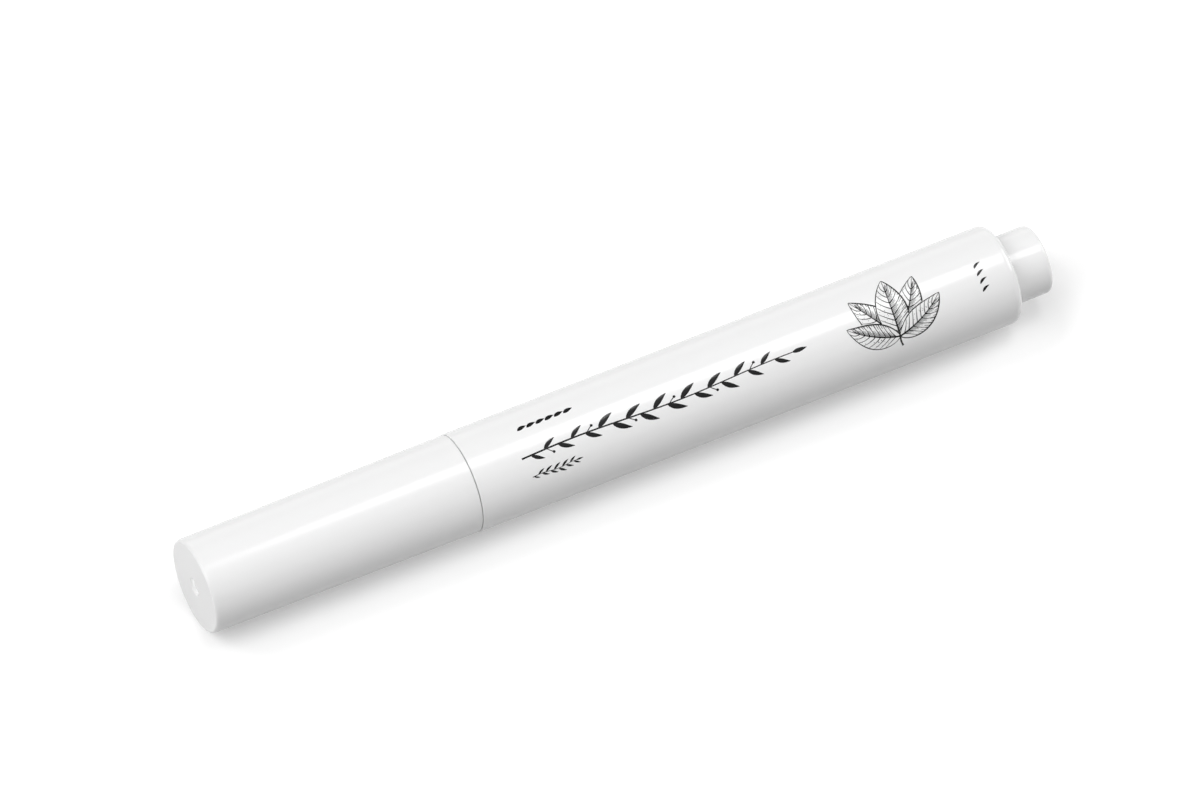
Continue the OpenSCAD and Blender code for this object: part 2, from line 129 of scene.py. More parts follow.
class OilPenBrush(bpy.types.PropertyGroup):
    """The bristles"""

    strands: IntProperty(
        name="Strands", description="Number of nylon strands in the brush", default=420, min=20, max=1200
    )
    thickness: length("Thickness", "Thickness of one strand", 0.115)
    uneven: length("Uneven Ends", "How unevenly the strands end", 0.55)


class OilPenPrint(bpy.types.PropertyGroup):
    """The printed leaf pattern"""

    side: FloatProperty(
        name="Side", description="Angle of the print's middle above the front", default=math.radians(53.2),
        subtype="ANGLE",
    )
    ink: length("Ink", "Height of the ink on the barrel", 0.012)
    sprig_start: length("Sprig Start", "Distance of the sprig from the seam", 7.2)
    sprig_end: length("Sprig End", "Distance of the sprig's tip from the seam", 50.8)
    leaves_at: length("Leaves", "Distance of the large leaves from the seam", 64.1)


class OilPenFinish(bpy.types.PropertyGroup):
    """Colours of the plastics, the ink and the bristles"""

    shell: colour("Shell", "Glossy white plastic of the cap, barrel and knob", (0.93, 0.93, 0.93))
    neck: colour("Neck", "White plastic of the neck", (0.9, 0.9, 0.9))
    natural: colour("Natural", "Milky plastic of the nose, liner and feed tube", (0.84, 0.85, 0.85))
    cartridge: colour("Cartridge", "Plastic of the oil cartridge", (0.86, 0.89, 0.9))
    piston: colour("Piston", "Waxy plastic of the piston", (0.88, 0.88, 0.86))
    works_white: colour("Works White", "Plastic of the rod and the drive sleeve", (0.88, 0.88, 0.88))
    works_grey: colour("Works Grey", "Plastic of the nut and the ratchet ring", (0.7, 0.71, 0.72))
    nylon: colour("Nylon", "Nylon of the bristles", (0.9, 0.88, 0.82))
    rubber: colour("Rubber", "Rubber of the seals", (0.13, 0.13, 0.14))
    ink: colour("Ink", "Ink of the printed pattern", (0.003, 0.003, 0.0032))


class OilPenStudio(bpy.types.PropertyGroup):
    """Floor, lamps and camera"""

    floor: colour("Floor", "Colour of the floor", (0.62, 0.62, 0.62))
    bounce: colour("Bounce", "Colour of the floor as it lights the pen", (0.42, 0.42, 0.42))
    glow: FloatProperty(
        name="Glow", description="Light that lifts the floor next to the pen", default=0.352, min=0
    )
    # Painted lift of the floor outside a box round the pen; the floor inside the box is left darker as
    # painted shade
    painted_floor_lift: FloatProperty(
        name="Spill", description="Added light that lifts the other floor to white", default=0.148, min=0
    )
    power: FloatProperty(
        name="Lamp Power", description="Factor on the power of every lamp", default=1, min=0, subtype="FACTOR"
    )
    mirrored: FloatProperty(
        name="Mirrored Sky", description="Strength of the sky that glossy surfaces mirror", default=0.4, min=0
    )
    azimuth: FloatProperty(
        name="Azimuth", description="Turn of the camera round the pen", default=math.radians(-26.985),
        subtype="ANGLE",
    )
    elevation: FloatProperty(
        name="Elevation", description="Height angle of the camera", default=math.radians(49.893),
        subtype="ANGLE",
    )
    distance: FloatProperty(
        name="Distance", description="Distance of the camera along its view", default=2.8265, min=0.1,
        unit="LENGTH",
    )
    lens: FloatProperty(
        name="Lens", description="Focal length of the camera in millimetres", default=626.4, min=1, max=5000
    )


# Modelling


def along(s):
    """World X of a place s mm from the cap's closed end."""
    return PEN_START + s * MM


def off_axis(point):
    """Distance of a point from the pen's axis, in mm."""
    return math.hypot(point[1], point[2] - AXIS_Z) / MM


def start_ring(name, s, r, count):
    """A ring of edges round the pen's axis, placed by its mesh and left in edit mode."""
    bpy.ops.object.select_all(action="DESELECT")
    bpy.ops.mesh.primitive_circle_add(
        vertices=count, radius=r * MM, location=(along(s), 0, AXIS_Z), rotation=(0, math.pi / 2, 0)
    )
    bpy.ops.object.transform_apply(location=True, rotation=True, scale=True)
    piece = bpy.context.object
    piece.name = piece.data.name = name
    bpy.ops.object.mode_set(mode="EDIT")
    bpy.ops.mesh.select_mode(type="EDGE")
    bpy.ops.mesh.select_all(action="SELECT")
    return piece


def pick_edges(piece, wanted):
    """Selects the edges of a piece in edit mode whose two ends both pass a test."""
    mesh = bmesh.from_edit_mesh(piece.data)
    for edge in mesh.edges:
        edge.select = False
    for edge in mesh.edges:
        if wanted(edge.verts[0].co) and wanted(edge.verts[1].co):
            edge.select = True
    mesh.select_flush_mode()
    bmesh.update_edit_mesh(piece.data)


def at_ring(*places, reach=0.002):
    """A test for points on one of the rings (s, r), within a reach. All in mm."""
    return lambda point: any(
        abs(point[0] - along(s)) < reach * MM and abs(off_axis(point) - r) < reach for s, r in places
    )


def turned(name, outline, count, hollow=False):
    """A round piece drawn ring by ring along its outline of (s, r), and closed. It is left in edit mode."""
    s, r = outline[0]
    piece = start_ring(name, s, r, count)
    for next_s, next_r in outline[1:]:
        bpy.ops.mesh.extrude_edges_move(TRANSFORM_OT_translate={"value": ((next_s - s) * MM, 0, 0)})
        grow = next_r / r
        bpy.ops.transform.resize(value=(1, grow, grow), center_override=(along(next_s), 0, AXIS_Z))
        s, r = next_s, next_r
    if hollow:
        pick_edges(piece, at_ring(outline[0], outline[-1]))
        bpy.ops.mesh.bridge_edge_loops()
    else:
        for end in (outline[0], outline[-1]):
            pick_edges(piece, at_ring(end))
            bpy.ops.mesh.edge_face_add()
    return piece


def round_ring(piece, s, r, size, segments=4):
    """Rounds the ring edge at (s, r) of a piece in edit mode. size is in metres."""
    pick_edges(piece, at_ring((s, r)))
    bpy.ops.mesh.bevel(offset=size, offset_type="OFFSET", segments=segments, profile=0.5, affect="EDGES")


def smooth(piece, angle=32):
    """Turns the faces outwards, leaves edit mode and shades the piece smooth up to an angle."""
    if bpy.context.mode == "EDIT_MESH":
        bpy.ops.mesh.select_all(action="SELECT")
        bpy.ops.mesh.normals_make_consistent(inside=False)
        bpy.ops.object.mode_set(mode="OBJECT")
    bpy.ops.object.shade_smooth_by_angle(angle=math.radians(angle))
    weigh = piece.modifiers.new("Even normals", "WEIGHTED_NORMAL")
    weigh.keep_sharp = True
    bpy.ops.object.modifier_apply(modifier=weigh.name)


def dress(piece, material, body, slot, *nodes):
    """Gives a piece its material and its body, and hides the CAD nodes that it stands for."""
    piece.data.materials.clear()
    piece.data.materials.append(material)
    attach(piece, body)
    if nodes:
        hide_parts(*nodes)


# Finishes


def new_material(name):
    """A material with an empty Principled shader, and its node tree."""
    material = bpy.data.materials.new(name)
    material.use_nodes = True
    tree = material.node_tree
    return material, tree, tree.nodes["Principled BSDF"]


def add_noise(tree, size_mm, detail=3.0, stretch=(1, 1, 1)):
    """Noise on the object's own coordinates, with marks about size_mm across."""
    place = tree.nodes.new("ShaderNodeTexCoord")
    mapping = tree.nodes.new("ShaderNodeMapping")
    mapping.inputs["Scale"].default_value = stretch
    noise = tree.nodes.new("ShaderNodeTexNoise")
    noise.inputs["Scale"].default_value = 1 / (size_mm * MM)
    noise.inputs["Detail"].default_value = detail
    tree.links.new(place.outputs["Object"], mapping.inputs["Vector"])
    tree.links.new(mapping.outputs["Vector"], noise.inputs["Vector"])
    return noise.outputs["Fac"]


def spread(tree, value, low, high):
    """Spreads noise over the range from low to high."""
    node = tree.nodes.new("ShaderNodeMapRange")
    node.inputs["From Min"].default_value = 0.3
    node.inputs["From Max"].default_value = 0.7
    node.inputs["To Min"].default_value = low
    node.inputs["To Max"].default_value = high
    tree.links.new(value, node.inputs["Value"])
    return node.outputs["Result"]


def tinted(tree, value, dark, light):
    """A colour that noise moves between two near shades."""
    node = tree.nodes.new("ShaderNodeMix")
    node.data_type = "RGBA"
    node.inputs["A"].default_value = (*dark, 1)
    node.inputs["B"].default_value = (*light, 1)
    tree.links.new(value, node.inputs["Factor"])
    return node.outputs["Result"]


def add_bump(tree, shader, value, height_mm, before=None):
    """Bump of a height in mm, on top of another bump if one is given."""
    bump = tree.nodes.new("ShaderNodeBump")
    bump.inputs["Strength"].default_value = 1
    bump.inputs["Distance"].default_value = height_mm * MM
    tree.links.new(value, bump.inputs["Height"])
    if before:
        tree.links.new(before, bump.inputs["Normal"])
    tree.links.new(bump.outputs["Normal"], shader.inputs["Normal"])
    return bump.outputs["Normal"]


def shade(base, factor):
    """A colour made darker or lighter by a factor."""
    return tuple(min(1.0, part * factor) for part in base)


def moulded(name, base, roughness, vary, flow_mm, grain_mm=0.25, grain_height=0.0004, milky=0.0):
    """Moulded plastic: faint flow marks in its colour and gloss, and a fine grain. It is made only once."""
    if name in bpy.data.materials:
        return bpy.data.materials[name]
    material, tree, shader = new_material(name)
    flow = add_noise(tree, flow_mm, 4.0, (0.35, 1, 1))
    grain = add_noise(tree, grain_mm, 2.0)
    colours = tinted(tree, flow, shade(base, 1 - vary), shade(base, 1 + vary))
    tree.links.new(colours, shader.inputs["Base Color"])
    tree.links.new(spread(tree, flow, roughness * 0.88, roughness * 1.14), shader.inputs["Roughness"])
    sag_height = flow_mm * 0.0006
    sag = add_bump(tree, shader, flow, sag_height)
    add_bump(tree, shader, grain, grain_height, sag)
    shader.inputs["IOR"].default_value = 1.49
    if milky:
        shader.inputs["Subsurface Weight"].default_value = milky
        shader.inputs["Subsurface Radius"].default_value = (1, 1, 1)
        shader.inputs["Subsurface Scale"].default_value = 0.6 * MM
    return material


def shell_plastic():
    """The glossy white plastic of the cap, the barrel and the knob."""
    return moulded("gloss_white_shell", bpy.context.scene.oil_pen_finish.shell, 0.17, 0.006, 9.0)


def torn_plastic():
    """The same plastic, dull where it was torn off."""
    return moulded("torn_plastic", bpy.context.scene.oil_pen_finish.shell, 0.55, 0.03, 0.6)


def natural_plastic():
    """The milky plastic of the nose, the liner and the feed tube."""
    return moulded(
        "natural_milky", bpy.context.scene.oil_pen_finish.natural, 0.38, 0.02, 3.0, 0.12, 0.0012, 0.35
    )


def neck_plastic():
    """The white plastic of the neck and the ferrule."""
    return moulded("neck_white", bpy.context.scene.oil_pen_finish.neck, 0.26, 0.01, 4.0)


def nylon_strands():
    """Nylon strands, each a little lighter or darker than the next."""
    base = bpy.context.scene.oil_pen_finish.nylon
    material, tree, shader = new_material("nylon_bristles")
    strand = add_noise(tree, 0.12, 1.0, (0.02, 1, 1))
    tree.links.new(tinted(tree, strand, shade(base, 0.86), shade(base, 1.07)), shader.inputs["Base Color"])
    tree.links.new(spread(tree, strand, 0.28, 0.46), shader.inputs["Roughness"])
    shader.inputs["IOR"].default_value = 1.53
    return material


def seal_rubber():
    """Dark, smooth rubber with a bloom."""
    base = bpy.context.scene.oil_pen_finish.rubber
    material, tree, shader = new_material("seal_rubber")
    bloom = add_noise(tree, 0.8, 5.0)
    grain = add_noise(tree, 0.08, 2.0)
    tree.links.new(tinted(tree, bloom, shade(base, 0.8), shade(base, 1.35)), shader.inputs["Base Color"])
    tree.links.new(spread(tree, bloom, 0.5, 0.72), shader.inputs["Roughness"])
    add_bump(tree, shader, grain, 0.002)
    return material


def print_ink():
    """Glossy black ink, a touch thinner in places."""
    base = bpy.context.scene.oil_pen_finish.ink
    material, tree, shader = new_material("print_ink")
    film = add_noise(tree, 0.35, 3.0)
    tree.links.new(tinted(tree, film, base, shade(base, 2)), shader.inputs["Base Color"])
    tree.links.new(spread(tree, film, 0.1, 0.16), shader.inputs["Roughness"])
    shader.inputs["IOR"].default_value = 1.38
    return material


# Pieces


class OILPEN_OT_cap(bpy.types.Operator):
    """Models the cap's glossy shell with the moulding mark in its closed end"""

    bl_idname = "oil_pen.cap"
    bl_label = "Cap"
    bl_options = {"REGISTER", "UNDO"}

    def execute(self, context):
        shape = context.scene.oil_pen_shape
        run, rise = shape.cap_run / MM, shape.cap_edge / MM
        tip_r, mouth_r, groove_r, wall_start = 6.78, 7.03, 6.08, 1.4
        dish_r, dish_floor_r, dish_depth = 1.32, 1.0, 0.34
        quarter = [math.pi / 2 * i / 8 for i in range(9)]
        outline = [
            (0.24, 0.4), (dish_depth, dish_floor_r), (0, dish_r),
            *((run * (1 - math.cos(a)), tip_r - rise * (1 - math.sin(a))) for a in quarter),
            (CAP_MOUTH, mouth_r), (CAP_MOUTH, 6.23), (39.9, CAP_BORE_R),
            (37.6, CAP_BORE_R), (37.1, groove_r), (36.1, groove_r), (35.6, CAP_BORE_R),
            (LINER_MOUTH, CAP_BORE_R), (LINER_MOUTH, LINER_R), (wall_start, LINER_R),
        ]
        cap = turned("cap_shell_moulded", outline, shape.facets)
        round_ring(cap, CAP_MOUTH, mouth_r, shape.seam_edge)
        round_ring(cap, 0, dish_r, 0.06 * MM, 3)
        round_ring(cap, dish_depth, dish_floor_r, 0.1 * MM, 3)
        smooth(cap)
        dress(cap, shell_plastic(), "cap", "gloss_white", "cap_shell")
        self.add_gate_mark()
        return {"FINISHED"}

    @staticmethod
    def add_gate_mark():
        """Models the torn flakes of plastic that the mould leaves in the dish of the cap's end."""
        depth, tall, thick, uneven = 0.21, 0.2, 0.07, 0.015
        # Place across and up from the pen's axis, and half width, in millimetres
        spots = (
            (1.0, 0.32, 0.24), (0.7, 0.06, 0.36), (0.4, -0.22, 0.48), (0.1, -0.5, 0.56), (-0.18, -0.76, 0.52),
            (-0.45, -0.95, 0.36),
        )
        flakes = []
        for seed, (y, z, wide) in enumerate(spots):
            facing = Vector((-0.6, -0.38, 0.2 + 0.14 * seed)).normalized()
            across = facing.cross(Vector((1, 0, 0))).normalized()
            bpy.ops.object.select_all(action="DESELECT")
            place = (along(depth), y * MM, AXIS_Z + z * MM)
            bpy.ops.mesh.primitive_ico_sphere_add(subdivisions=3, radius=MM, location=place)
            flake = bpy.context.object
            flake.scale = (wide, tall, thick)
            flake.rotation_euler = Matrix((across, facing.cross(across), facing)).transposed().to_euler()
            bpy.ops.object.transform_apply(location=True, rotation=True, scale=True)
            bpy.ops.object.mode_set(mode="EDIT")
            bpy.ops.mesh.select_all(action="SELECT")
            bpy.ops.transform.vertex_random(offset=uneven * MM, uniform=0.2, normal=0.8, seed=seed + 5)
            bpy.ops.object.mode_set(mode="OBJECT")
            flakes.append(flake)
        for flake in flakes:
            flake.select_set(True)
        bpy.ops.object.join()
        mark = bpy.context.object
        mark.name = mark.data.name = "gate_mark"
        smooth(mark, 60)
        dress(mark, torn_plastic(), "cap", "gloss_white")


class OILPEN_OT_liner(bpy.types.Operator):
    """Models the cap's inner cup with its guide ring and its thick sealing mouth"""

    bl_idname = "oil_pen.liner"
    bl_label = "Cap Liner"
    bl_options = {"REGISTER", "UNDO"}

    def execute(self, context):
        shape = context.scene.oil_pen_shape
        cup_r, cup_bore_r, guide_start, guide_end, collar = 4.9, 4.2, 5.4, 6.9, 26.5
        lip_r, seal_r = 4.85, 4.55
        outline = [
            (1.4, 4.6), (1.7, cup_r), (guide_start, cup_r), (guide_start, LINER_R), (guide_end, LINER_R),
            (guide_end, cup_r), (collar, cup_r), (collar, LINER_R), (LINER_MOUTH, LINER_R),
            (LINER_MOUTH, lip_r), (31.2, seal_r), (26.8, seal_r), (collar, cup_bore_r), (2.4, cup_bore_r),
        ]
        liner = turned("cap_liner_moulded", outline, shape.facets // 2)
        round_ring(liner, LINER_MOUTH, LINER_R, shape.inner_edge, 2)
        round_ring(liner, LINER_MOUTH, lip_r, shape.inner_edge, 2)
        smooth(liner)
        dress(liner, natural_plastic(), "cap", "liner_plastic", "cap_liner")
        return {"FINISHED"}


class OILPEN_OT_barrel(bpy.types.Operator):
    """Models the barrel's glossy shell with its rounded rear end and the lip that keeps the knob in"""

    bl_idname = "oil_pen.barrel"
    bl_label = "Barrel"
    bl_options = {"REGISTER", "UNDO"}

    def execute(self, context):
        shape = context.scene.oil_pen_shape
        lip_r, lip = 5.0, BARREL_END - 1.7
        outline = [
            (SEAM, BARREL_BORE_R), (SEAM, BARREL_R), (BARREL_END, BARREL_R),
            (BARREL_END, lip_r), (lip, lip_r), (lip, BARREL_BORE_R),
        ]
        barrel = turned("barrel_shell_moulded", outline, shape.facets, hollow=True)
        round_ring(barrel, BARREL_END, BARREL_R, shape.barrel_edge, 10)
        round_ring(barrel, SEAM, BARREL_R, shape.seam_edge)
        round_ring(barrel, BARREL_END, lip_r, shape.inner_edge, 3)
        smooth(barrel)
        dress(barrel, shell_plastic(), "barrel", "gloss_white", "barrel_shell")
        return {"FINISHED"}


class OILPEN_OT_knob(bpy.types.Operator):
    """Models the twist knob with its rounded end, its flange and the grooved pocket for the drive sleeve"""

    bl_idname = "oil_pen.knob"
    bl_label = "Twist Knob"
    bl_options = {"REGISTER", "UNDO"}

    front, pocket_end = 117.05, 124.55

    def execute(self, context):
        shape = context.scene.oil_pen_shape
        knob_r, flange_r, sleeve_r, bore_r = 4.9, 6.0, 4.0, 2.8
        bore_end, flange_start, flange_end = 127.6, 119.85, 121.05
        outline = [
            (bore_end, bore_r), (self.pocket_end, bore_r), (self.pocket_end, sleeve_r),
            (self.front, sleeve_r), (self.front, knob_r), (flange_start, knob_r), (flange_start, flange_r),
            (flange_end, flange_r), (flange_end, knob_r), (PEN_END, knob_r),
        ]
        knob = turned("knob_shell_moulded", outline, shape.facets)
        round_ring(knob, PEN_END, knob_r, shape.knob_edge, 8)
        bpy.ops.mesh.select_all(action="SELECT")
        bpy.ops.mesh.normals_make_consistent(inside=False)
        bpy.ops.object.mode_set(mode="OBJECT")
        self.cut_grooves(knob)
        bpy.ops.object.select_all(action="DESELECT")
        knob.select_set(True)
        context.view_layer.objects.active = knob
        smooth(knob)
        dress(knob, shell_plastic(), "knob", "gloss_white", "knob_shell")
        return {"FINISHED"}

    def cut_grooves(self, knob):
        """Cuts the six grooves for the drive sleeve's ribs, with three bars right across the pocket."""
        width, span, clear = 0.9, 8.9, 0.5
        start = self.front - clear
        centre = (along((start + self.pocket_end) / 2), 0, AXIS_Z)
        bars = []
        bpy.ops.object.select_all(action="DESELECT")
        for i in range(3):
            turn = (math.radians(60 * i), 0, 0)
            bpy.ops.mesh.primitive_cube_add(size=1, location=centre, rotation=turn)
            bar = bpy.context.object
            bar.scale = ((self.pocket_end - start) * MM, span * MM, width * MM)
            bars.append(bar)
        for bar in bars:
            bar.select_set(True)
        bpy.ops.object.transform_apply(location=True, rotation=True, scale=True)
        for bar in bars:
            cut = knob.modifiers.new("Groove", "BOOLEAN")
            cut.object = bar
            cut.operation = "DIFFERENCE"
            cut.solver = "EXACT"
        bpy.ops.object.select_all(action="DESELECT")
        bpy.context.view_layer.objects.active = knob
        knob.select_set(True)
        for cut in list(knob.modifiers):
            bpy.ops.object.modifier_apply(modifier=cut.name)
        for bar in bars:
            bpy.data.objects.remove(bar, do_unlink=True)


class OILPEN_OT_neck(bpy.types.Operator):
    """Models the neck with its snap bead, the nose with its plug, and the ferrule"""

    bl_idname = "oil_pen.neck"
    bl_label = "Neck and Nose"
    bl_options = {"REGISTER", "UNDO"}

    shoulder = 45

    def execute(self, context):
        shape = context.scene.oil_pen_shape
        self.model_neck(shape)
        self.model_nose(shape)
        self.model_ferrule(shape)
        return {"FINISHED"}

    def model_neck(self, shape):
        """The neck, with a chamfered mouth, the snap bead and the collar that fits the barrel's bore."""
        mouth, collar_end = 32, 47
        bead = ((36.1, NECK_R), (36.46, 5.87), (36.74, 5.87), (37.1, NECK_R))
        chamfer = ((mouth, 5.43), (32.3, NECK_R))
        neck = turned("neck_sleeve_moulded", [
            (mouth, NOSE_R), *chamfer, *bead, (SEAM, NECK_R), (SEAM, BARREL_BORE_R),
            (collar_end, BARREL_BORE_R), (collar_end, NECK_BORE_R), (self.shoulder, NECK_BORE_R),
            (self.shoulder, NOSE_R),
        ], shape.facets // 2, hollow=True)
        for s, r in bead:
            round_ring(neck, s, r, 0.12 * MM, 2)
        for s, r in chamfer:
            round_ring(neck, s, r, shape.inner_edge, 2)
        smooth(neck)
        dress(neck, neck_plastic(), "barrel", "neck_white", "neck_sleeve")

    def model_nose(self, shape):
        """The nose, with a rounded tip, its cone, and the plug with the groove for its seal."""
        tip, plug_end, groove_start, groove_end, groove_r = 18.5, 49, 47.4, 48.6, 4.2
        mouth, chin, cone_end, base = (tip, 1.9), (18.8, 2.2), (26.42, 3.9), (27.5, NOSE_R)
        nose = turned("nose_cone_moulded", [
            (tip, FERRULE_R), mouth, chin, cone_end, base, (self.shoulder, NOSE_R),
            (self.shoulder, NECK_BORE_R), (groove_start, NECK_BORE_R), (groove_start, groove_r),
            (groove_end, groove_r), (groove_end, NECK_BORE_R), (plug_end, NECK_BORE_R), (plug_end, 3.6),
            (45.44, FEED_R), (FERRULE_END, FEED_R), (FERRULE_END, FERRULE_R),
        ], shape.facets // 2, hollow=True)
        for (s, r), size, segments in ((chin, 0.18, 3), (mouth, 0.08, 2), (cone_end, 0.5, 4), (base, 0.4, 4)):
            round_ring(nose, s, r, size * MM, segments)
        smooth(nose)
        dress(nose, natural_plastic(), "barrel", "liner_plastic", "nose_cone")

    def model_ferrule(self, shape):
        """The ferrule that holds the bristles, with a crimped groove near its mouth."""
        ferrule = turned("ferrule_moulded", [
            (FERRULE_MOUTH, BRUSH_R), (FERRULE_MOUTH, FERRULE_R), (17.35, FERRULE_R), (17.5, 1.6),
            (17.65, FERRULE_R), (FERRULE_END, FERRULE_R), (FERRULE_END, BRUSH_R),
        ], shape.facets // 4, hollow=True)
        round_ring(ferrule, FERRULE_MOUTH, FERRULE_R, 0.12 * MM, 3)
        round_ring(ferrule, FERRULE_MOUTH, BRUSH_R, 0.08 * MM, 2)
        smooth(ferrule)
        dress(ferrule, neck_plastic(), "barrel", "neck_white", "brush_ferrule")


class OILPEN_OT_brush(bpy.types.Operator):
    """Models the brush as nylon strands that leave the ferrule and gather to a soft point"""

    bl_idname = "oil_pen.brush"
    bl_label = "Brush"
    bl_options = {"REGISTER", "UNDO"}

    root, reach = 18.4, 9.0
    steps, step = 7, 1.5
    # Radius of the brush at shares of its reach from the ferrule's mouth
    swell = ((-0.22, 1.25), (0.0, 1.27), (0.12, 1.4), (0.32, 1.56), (0.62, 1.28), (0.86, 0.72), (1.0, 0.2))

    def execute(self, context):
        brush = context.scene.oil_pen_brush
        chance = random.Random(7)
        strand = self.model_strand(brush.thickness)
        strands = [strand]
        for _ in range(brush.strands - 1):
            copy = strand.copy()
            copy.data = strand.data.copy()
            context.collection.objects.link(copy)
            strands.append(copy)
        for i, copy in enumerate(strands):
            self.lay_strand(copy.data, i, len(strands), brush, chance)
        bpy.ops.object.select_all(action="DESELECT")
        for copy in strands:
            copy.select_set(True)
        context.view_layer.objects.active = strand
        bpy.ops.object.join()
        tuft = context.object
        tuft.name = tuft.data.name = "brush_bristles"
        bpy.ops.object.shade_smooth_by_angle(angle=math.radians(60))
        nylon = nylon_strands()
        dress(tuft, nylon, "barrel", "bristle", "brush_tuft")

        root = turned("brush_root", [
            (self.root, FEED_R), (self.root, BRUSH_R), (FERRULE_END, BRUSH_R), (FERRULE_END, FEED_R),
        ], 48, hollow=True)
        smooth(root)
        dress(root, nylon, "barrel", "bristle")
        return {"FINISHED"}

    def model_strand(self, thickness):
        """One straight strand of a few short lengths, with a tapered tip."""
        half, taper = thickness / 2 / MM, 0.45
        strand = start_ring("brush_strand", self.root, half, 5)
        for _ in range(self.steps):
            bpy.ops.mesh.extrude_edges_move(TRANSFORM_OT_translate={"value": (-self.step * MM, 0, 0)})
        tip = (along(self.root - self.step * self.steps), 0, AXIS_Z)
        bpy.ops.transform.resize(value=(1, taper, taper), center_override=tip)
        bpy.ops.mesh.edge_face_add()
        pick_edges(strand, at_ring((self.root, half)))
        bpy.ops.mesh.edge_face_add()
        bpy.ops.mesh.select_all(action="SELECT")
        bpy.ops.mesh.normals_make_consistent(inside=False)
        bpy.ops.object.mode_set(mode="OBJECT")
        return strand

    def width(self, share):
        """Radius of the whole brush at a share of its reach from the ferrule."""
        for (a, ra), (b, rb) in zip(self.swell, self.swell[1:]):
            if share <= b:
                return ra + (rb - ra) * (share - a) / (b - a)
        return self.swell[-1][1]

    def lay_strand(self, mesh, i, count, brush, chance):
        """Bends a straight strand to its own place in the brush."""
        place = math.sqrt((i + 0.5) / count)
        turn = i * math.pi * (3 - math.sqrt(5)) + chance.uniform(-0.15, 0.15)
        full = self.root - FERRULE_MOUTH + self.reach
        short = brush.uneven / MM * chance.random() * (0.35 + 1.6 * place)
        grow = (full - short - 0.02) / full
        wave, phase = chance.uniform(-0.05, 0.05), chance.uniform(0, 6.3)
        for vertex in mesh.vertices:
            s = (vertex.co.x - PEN_START) / MM
            share_of_length = (self.root - s) / (self.steps * self.step)
            s = self.root - share_of_length * full * grow
            share = (FERRULE_MOUTH - s) / self.reach
            r = place * self.width(share) + wave * math.sin(3 * share + phase) * max(0, min(1, share * 2))
            vertex.co.x = along(s)
            vertex.co.y += r * math.cos(turn) * MM
            vertex.co.z += r * math.sin(turn) * MM


# Print


TIP_LEAF = 2.2


def curve_points(start, angle, reach, bow, count):
    """Points of a gently bowed line: place and direction at each, in mm on the unrolled barrel."""
    u, v = start
    step = reach / (count - 1)
    points = []
    for i in range(count):
        points.append((u, v, angle))
        u += math.cos(angle) * step
        v += math.sin(angle) * step
        angle += bow / (count - 1)
    return points


def leaf_width(t, fullest=0.42):
    """Share of a leaf's half width at a share t of its length."""
    k = math.log(0.5) / math.log(fullest)
    return math.sin(math.pi * t ** k) ** 0.85 if 0 < t < 1 else 0.0


def dot(u, v, r):
    """A round dot as a very short, thick stroke."""
    return [(u - r * math.cos(a), v, r * math.sin(a)) for a in (0.25, 0.7, 1.2, 1.57, 1.94, 2.44, 2.89)]


def filled_leaf(start, angle, reach, half, bow):
    """A small leaf filled with ink."""
    spine = curve_points(start, angle, reach, bow, 9)
    return [(u, v, max(0.03, half * leaf_width(i / 8))) for i, (u, v, _) in enumerate(spine)]


def covers(leaf, u, v):
    """Whether a leaf, given by its spine and half width, lies over a point."""
    spine, half = leaf
    gaps = [math.hypot(u - x, v - y) for x, y, _ in spine]
    nearest = min(range(len(spine)), key=gaps.__getitem__)
    return gaps[nearest] < half * leaf_width(nearest / (len(spine) - 1))


def clipped(stroke, in_front):
    """The parts of a stroke that no leaf in front hides."""
    parts, part = [], []
    for point in stroke:
        if any(covers(leaf, point[0], point[1]) for leaf in in_front):
            parts.append(part)
            part = []
        else:
            part.append(point)
    parts.append(part)
    return [part for part in parts if len(part) > 1]


def veined_leaf(start, angle, reach, half, bow, pen, chance):
    """A large leaf in outline, with its midrib, side veins, hatching on one half and fine dots."""
    count = 41
    first, covered, lean, rim = 0.08, 0.78, 0.17, 0.94
    spine = curve_points(start, angle, reach, bow, count)

    def at(t, across):
        """The point at a share t of the leaf's length and a share of its half width."""
        place = min(max(t, 0), 1) * (count - 1)
        i = min(int(place), count - 2)
        mix = place - i
        u = spine[i][0] * (1 - mix) + spine[i + 1][0] * mix
        v = spine[i][1] * (1 - mix) + spine[i + 1][1] * mix
        a = spine[i][2]
        w = across * half * leaf_width(min(max(t, 0), 1))
        return u - math.sin(a) * w, v + math.cos(a) * w

    strokes = []
    veins = max(5, round(reach * 0.95))
    for side, wide in ((-1, 1.25), (1, 0.85)):
        strokes.append([
            (*at(i / 48, side), pen * wide * (0.7 + 0.5 * math.sin(math.pi * i / 48))) for i in range(49)
        ])
        for k in range(veins):
            t = first + covered * k / veins
            strokes.append([
                (*at(t + lean * j / 11, side * rim * (j / 11) ** 0.85), pen * (0.95 - 0.05 * j))
                for j in range(12)
            ])
    strokes.append([(*at(i / 48, 0), pen * (1.9 - 1.5 * i / 48)) for i in range(48)])
    lines = round(reach * 4.2)
    for k in range(lines):
        t = 0.06 + 0.8 * k / lines
        deep = 0.3 + 0.26 * math.sin(veins * math.pi * (t - first) / covered) ** 2
        strokes.append([
            (*at(t + lean * deep * j / 7, -rim * deep * j / 7), pen * (0.62 - 0.05 * j)) for j in range(8)
        ])
        if k % 2:
            inner = 0.82 - 0.1 * (k % 3)
            strokes.append([
                (*at(t + lean * (inner + (1 - inner) * j / 7), -(inner + (0.98 - inner) * j / 7)), pen * 0.5)
                for j in range(8)
            ])
    for _ in range(round(reach * 3)):
        t, across = chance.uniform(0.2, 0.85), chance.uniform(0.15, 0.85)
        strokes.append(dot(*at(t, across), pen * chance.uniform(0.5, 0.8)))
    return strokes, (spine, half)


